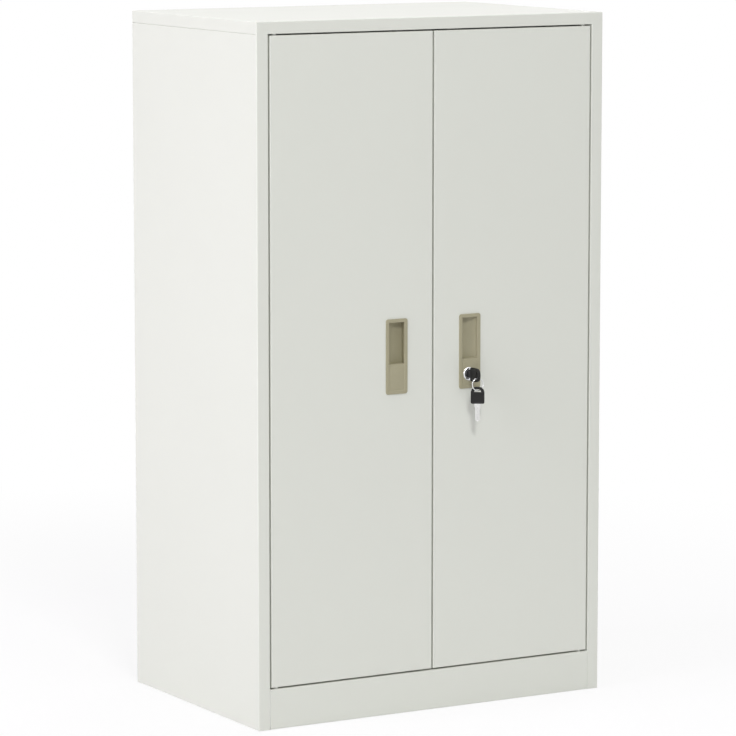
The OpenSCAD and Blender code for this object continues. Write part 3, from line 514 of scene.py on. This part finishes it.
pick(slot_part(MOUTH_H))
push(y=MOUTH_D)
pick(slot_part(KEYWAY_H))
push(y=KEYWAY_D)
finish_shape(plug, bevel=PLUG_EDGE, segments=2, smooth=35)
place(plug, LOCK_X, FRONT, LOCK_Z)
# the plug takes the near-black metal, which is painted shade and reflection
settle(plug, "plug", "lock_chrome", plug_metal_painted_shade, "lock_plug")
# the keyway's inner walls get the near-black material as painted shade
plug.data.materials.append(slot_shadow)
for face in plug.data.polygons:
    off_axis = Vector((face.center.x - LOCK_X, 0, face.center.z - LOCK_Z))
    in_keyway = abs(off_axis.x) < KEYWAY_W / 2 + NEAR and abs(off_axis.z) < MOUTH_H / 2
    if in_keyway and face.center.y > FRONT - SHADOW_FROM:
        face.material_index = 1

# %% [markdown]
# ## The keys
#
# Both keys are the same moulding, so one is modelled and the other is a copy with its own mesh.
# The head is a flat block. Wide bevels on its two upper corners make the arch, a bridge between
# two deleted faces makes the eye for the ring, and an inset sinks the panel so that a raised rim
# stays round it. The blade is a milled strip: its shoulder and its cuts are faces between
# bisect planes, moved out or in, and its groove is a strip of faces pushed below the surface.

# %% Key head and blade
KEY_W, KEY_H, KEY_T = 21 * MM, 26 * MM, 3.2 * MM
ARCH_R, FOOT_R, KEY_EDGE = 9.2 * MM, 2.5 * MM, 0.4 * MM
EYE_LOW, EYE_HIGH, EYE_HALF = 17.8 * MM, 22.2 * MM, 5.5 * MM
EYE_MARGIN, EYE_TAPER, OFF_MIDDLE = 1.1 * MM, 1.7 * MM, 1 * MM
BORDER_W, BORDER_SLOPE, PANEL_D = 1.9 * MM, 0.35 * MM, 0.4 * MM
BLADE_W, BLADE_L, BLADE_T = 7.5 * MM, 27 * MM, 2 * MM
TANG, TIP_R, BLADE_EDGE = 4 * MM, 3.5 * MM, 0.12 * MM
SHOULDER, SHOULDER_STEP = 6 * MM, 1.05 * MM
CUT_COUNT, CUT_START, CUT_PITCH = 4, 4, 3.6     # of the bitting, in millimetres
CUT_SHALLOW, CUT_MORE = 0.5, 0.3                # depth, and what every second cut adds
CUT_PLANES, CUT_FLAT = (-1.6, -0.5, 0.5, 1.6), 0.4
GROOVE_HALF, GROOVE_SLOPE, GROOVE_D = 0.85 * MM, 0.15 * MM, 0.4 * MM


def is_flat(where, way):
    return abs(way.y) > STRAIGHT


def on_eye_top(side):
    return lambda where, way: (abs(where.z - EYE_HIGH) < SAME and is_flat(where, way)
                               and where.x * side > OFF_MIDDLE)


def key_head(name):
    head = start(bpy.ops.mesh.primitive_cube_add, name, size=1, location=(0, 0, KEY_H / 2),
                 scale=(KEY_W, KEY_T, KEY_H))
    pick(lambda where, way: is_flat(where, way) and where.z > KEY_H / 2, "EDGE")
    bpy.ops.mesh.bevel(offset=ARCH_R, segments=12, affect="EDGES")
    pick(lambda where, way: is_flat(where, way) and where.z < NEAR, "EDGE")
    bpy.ops.mesh.bevel(offset=FOOT_R, segments=4, affect="EDGES")
    for axis, at in ((2, EYE_LOW - EYE_MARGIN), (2, EYE_LOW), (2, EYE_HIGH)):
        cut(axis, at, is_flat)
    for at in (-EYE_HALF, EYE_HALF):
        cut(0, at, lambda where, way: is_flat(where, way) and EYE_LOW < where.z < EYE_HIGH)
    pick(lambda where, way: is_flat(where, way) and EYE_LOW < where.z < EYE_HIGH
         and abs(where.x) < EYE_HALF)
    bpy.ops.mesh.delete(type="FACE")
    pick(lambda where, way: EYE_LOW - SAME < where.z < EYE_HIGH + SAME
         and abs(where.x) < EYE_HALF + SAME and abs(way.y) < 1 - STRAIGHT
         and abs(where.y) > KEY_T / 2 - SAME, "EDGE")
    bpy.ops.mesh.bridge_edge_loops()
    for side in (1, -1):
        pick(on_eye_top(side), "EDGE")
        nudge(x=-side * EYE_TAPER)
    pick(lambda where, way: is_flat(where, way) and where.z < EYE_LOW - EYE_MARGIN)
    bpy.ops.mesh.inset(thickness=BORDER_W)
    bpy.ops.mesh.inset(thickness=BORDER_SLOPE, depth=-PANEL_D)
    finish_shape(head, bevel=KEY_EDGE, segments=3, smooth=40)
    return head


def key_blade(name):
    blade = start(bpy.ops.mesh.primitive_cube_add, name, size=1, location=(0, 0, (TANG - BLADE_L) / 2),
                  scale=(BLADE_W, BLADE_T, BLADE_L + TANG))
    pick(lambda where, way: is_flat(where, way) and where.z < -BLADE_L / 2, "EDGE")
    bpy.ops.mesh.bevel(offset=TIP_R, segments=8, affect="EDGES")
    cut(2, -SHOULDER, lambda where, way: abs(way.x) > STRAIGHT or is_flat(where, way))
    for side in (-1, 1):
        pick(lambda where, way: way.x * side > STRAIGHT and where.z > -SHOULDER)
        push(x=side * SHOULDER_STEP)
    # cuts along one edge, alternately shallow and deep
    for number in range(CUT_COUNT):
        middle = -SHOULDER - (CUT_START + CUT_PITCH * number) * MM
        depth = (CUT_SHALLOW + CUT_MORE * (number % 2)) * MM
        for offset in CUT_PLANES:
            cut(2, middle + offset * MM, lambda where, way: way.x > STRAIGHT and where.z < -SHOULDER)
        pick(lambda where, way: way.x > STRAIGHT and abs(where.z - middle) < CUT_FLAT * MM)
        nudge(x=-depth)
    # a groove down each face
    for at in (-GROOVE_HALF, GROOVE_HALF):
        cut(0, at, lambda where, way: is_flat(where, way) and where.z < -SHOULDER)
    for side in (-1, 1):
        pick(lambda where, way: way.y * side > STRAIGHT and abs(where.x) < GROOVE_HALF
             and where.z < -SHOULDER)
        bpy.ops.mesh.inset(thickness=GROOVE_SLOPE, depth=-GROOVE_D)
    finish_shape(blade, bevel=BLADE_EDGE, segments=2, smooth=35)
    return blade


def copy_of(piece, name):
    bpy.ops.object.select_all(action="DESELECT")
    twin = piece.copy()
    twin.data = piece.data.copy()
    twin.name = twin.data.name = name
    bpy.context.collection.objects.link(twin)
    return twin


def move_by(piece, matrix):
    take(piece)
    piece.matrix_world = matrix
    bpy.ops.object.transform_apply(location=True, rotation=True, scale=True)


RING_Y, RING_Z, HANG_Z = FRONT - 26.8 * MM, 505.4 * MM, 475.6 * MM
KEY_OUT, HANG_TURN = 6.8 * MM, math.radians(-35)
in_lock = (Matrix.Translation((LOCK_X, FRONT - KEY_OUT, LOCK_Z))
           @ Matrix.Rotation(math.radians(-90), 4, "Y") @ Matrix.Rotation(math.radians(90), 4, "X"))
on_ring = Matrix.Translation((LOCK_X, RING_Y, HANG_Z)) @ Matrix.Rotation(HANG_TURN, 4, "Z")
head = key_head("grip_in_lock")
spare_head = copy_of(head, "hanging_grip")
blade = key_blade("blade_in_lock")
spare_blade = copy_of(blade, "hanging_blade")
for piece, matrix, body, slot, finish, node in (
        (head, in_lock, "door_key", "key_plastic", black_plastic, "key_head"),
        (blade, in_lock, "door_key", "zinc_steel", key_steel, "key_blade"),
        (spare_head, on_ring, "spare_key", "key_plastic", black_plastic, "spare_key_head"),
        (spare_blade, on_ring, "spare_key", "zinc_steel", key_steel, "spare_key_blade")):
    move_by(piece, matrix)
    settle(piece, body, slot, finish, node)

# %% [markdown]
# ## The split ring
#
# A key ring is a flattened spring-steel wire wound twice round, so that a key can be worked
# between the coils. A small circle, squeezed to the wire's section and swept by a Screw modifier
# through almost two turns, with about one wire's thickness of rise in each, is just that. Its
# two ends are then filled.

# %% Split ring
WIRE_W, WIRE_T, RING_R = 1.3 * MM, 0.62 * MM, 9.6 * MM
WIRE_SIDES, COIL_TURN, COIL_RISE, COIL_STEPS = 12, math.radians(715), 1.25 * MM, 128
ring = start(bpy.ops.mesh.primitive_circle_add, "split_ring", vertices=WIRE_SIDES,
             radius=WIRE_W / 2, location=(RING_R, 0, 0), rotation=(math.radians(90), 0, 0),
             scale=(1, WIRE_T / WIRE_W, 1))
bpy.ops.object.mode_set(mode="OBJECT")
sweep = ring.modifiers.new("coils", "SCREW")
sweep.axis, sweep.angle, sweep.screw_offset = "Z", COIL_TURN, COIL_RISE
sweep.steps = sweep.render_steps = COIL_STEPS
bpy.ops.object.modifier_apply(modifier="coils")
bpy.ops.object.mode_set(mode="EDIT")
pick(lambda where, way: False)
bpy.ops.mesh.select_mode(type="VERT")
bpy.ops.mesh.select_non_manifold()
bpy.ops.mesh.fill_holes(sides=WIRE_SIDES)
bpy.ops.mesh.select_all(action="SELECT")
nudge(z=-COIL_RISE / 2)
finish_shape(ring, smooth=60, flip=True)
stand_up = Matrix.Rotation(math.radians(90), 4, "X")
move_by(ring, Matrix.Translation((LOCK_X, RING_Y, RING_Z)) @ stand_up)
settle(ring, "ring", "lock_chrome", polished_chrome, "key_ring")

# %% [markdown]
# ## The camera
#
# The photograph was taken with a long lens from the left and a little above. Matching the
# corners of the cabinet to their places in the picture gives the camera's place, its turn of
# 30 degrees and its tilt of 8 degrees.

# %% Camera
TURN, TILT = math.radians(30.082), math.radians(7.850)
CAMERA_PLACE = (-3.1124, -5.5807, 1.3643)
FOCAL_PIXELS, PICTURE_PIXELS, SENSOR_MM = 3990.7, 736, 36
ahead = Vector((math.sin(TURN) * math.cos(TILT), math.cos(TURN) * math.cos(TILT), -math.sin(TILT)))
lens = bpy.data.cameras.new("photo_lens")
lens.lens = FOCAL_PIXELS / PICTURE_PIXELS * SENSOR_MM
lens.sensor_width, lens.sensor_fit = SENSOR_MM, "HORIZONTAL"
lens.clip_end = 60
camera = bpy.data.objects.new("photo_camera", lens)
camera.location = CAMERA_PLACE
camera.rotation_euler = ahead.to_track_quat("-Z", "Y").to_euler()
bpy.context.collection.objects.link(camera)
bpy.context.scene.camera = camera

# %% [markdown]
# ## A white studio
#
# The picture's background is pure white and the cabinet is lit evenly. The keys' shadow falls
# down and a little to the right of straight back, so the main lamp stands high in front, 20
# degrees to the left, and far away, because a far lamp lights the top and the foot of a door
# alike. A second lamp brightens the left side, a third the top, and a fourth the right side and
# the back. What the camera and mirrors see of the world is white at strength 1, so the light on
# the object can stay at a plain level.

# %% World and lamps
WORLD_LIGHT = 0.245
world = bpy.data.worlds.new("white_studio")
world.use_nodes = True
bpy.context.scene.world = world
world.node_tree.nodes.clear()
studio = NodeSheet(world.node_tree)
lit = studio.add("ShaderNodeBackground", None, {"Color": (1, 1, 1, 1), "Strength": WORLD_LIGHT})
white = studio.add("ShaderNodeBackground", None, {"Color": (1, 1, 1, 1), "Strength": 1.0})
choice = studio.add("ShaderNodeMixShader", None, {"Fac": studio.seen_directly(), 1: lit, 2: white})
world_end = world.node_tree.nodes.new("ShaderNodeOutputWorld")
world.node_tree.links.new(choice.socket, world_end.inputs["Surface"])


def soft_lamp(name, where, aim, size, power, colour=(1, 1, 1)):
    lamp = bpy.data.lights.new(name, "AREA")
    lamp.shape, lamp.size, lamp.energy, lamp.color = "SQUARE", size, power, colour
    holder = bpy.data.objects.new(name, lamp)
    holder.location = where
    holder.rotation_euler = (Vector(aim) - Vector(where)).to_track_quat("-Z", "Y").to_euler()
    bpy.context.collection.objects.link(holder)


COOL_WHITE = (0.965, 0.925, 1.0)
AIM = (0, -0.2, 0.5)
soft_lamp("left_softbox", (-3.6, -0.6, 1.8), AIM, size=2.4, power=78, colour=COOL_WHITE)
soft_lamp("front_softbox", (-1.9, -6.0, 5.3), AIM, size=1.6, power=217)
soft_lamp("top_softbox", (0.2, -0.4, 4.2), (0, -0.2, 1.0), size=2.2, power=59, colour=COOL_WHITE)
soft_lamp("rear_softbox", (3.4, 2.4, 0.9), AIM, size=2.0, power=75)

bpy.context.scene.view_settings.view_transform = "Standard"

# %% [markdown]
# The floor is a plain pale sheet. To the camera it takes the white of the background, but it
# keeps a fifth of its own shading close to the cabinet, so that the soft shadow stays. Farther
# out the white takes over, and no horizon shows.

# %% Floor
FLOOR_SIZE, FLOOR_Z = 14, -0.0008
FADE_FROM, FADE_OVER = 0.7, 1.1           # metres from the middle, and metres to full white
WHITE_NEAR, WHITE_FARTHER = 0.8, 0.2      # share of white at the cabinet, and what distance adds
bpy.ops.object.select_all(action="DESELECT")
bpy.ops.mesh.primitive_plane_add(size=FLOOR_SIZE, location=(0, 0, FLOOR_Z))
floor = bpy.context.object
floor.name = "studio_floor"
pale = Finish("pale_floor", Roughness=0.9, Specular_IOR_Level=0.0)
pale.use(Base_Color=pale.tint(pale.noise(0.6), (0.90, 0.90, 0.90), (0.93, 0.93, 0.93)))
distance = pale.add("ShaderNodeVectorMath", {"operation": "LENGTH"}, {0: pale.place}, "Value")
far_off = ((distance - FADE_FROM) / FADE_OVER).clipped()
glow = pale.add("ShaderNodeEmission", None, {"Color": (1, 1, 1, 1), "Strength": 1.0})
whiteness = pale.seen_directly() * (WHITE_NEAR + WHITE_FARTHER * far_off)
own_shading = Wire(pale, pale.shader.outputs[0])
look = pale.add("ShaderNodeMixShader", None, {"Fac": whiteness, 1: own_shading, 2: glow})
pale.tree.links.new(look.socket, pale.tree.nodes["Material Output"].inputs["Surface"])
floor.data.materials.append(pale.material)
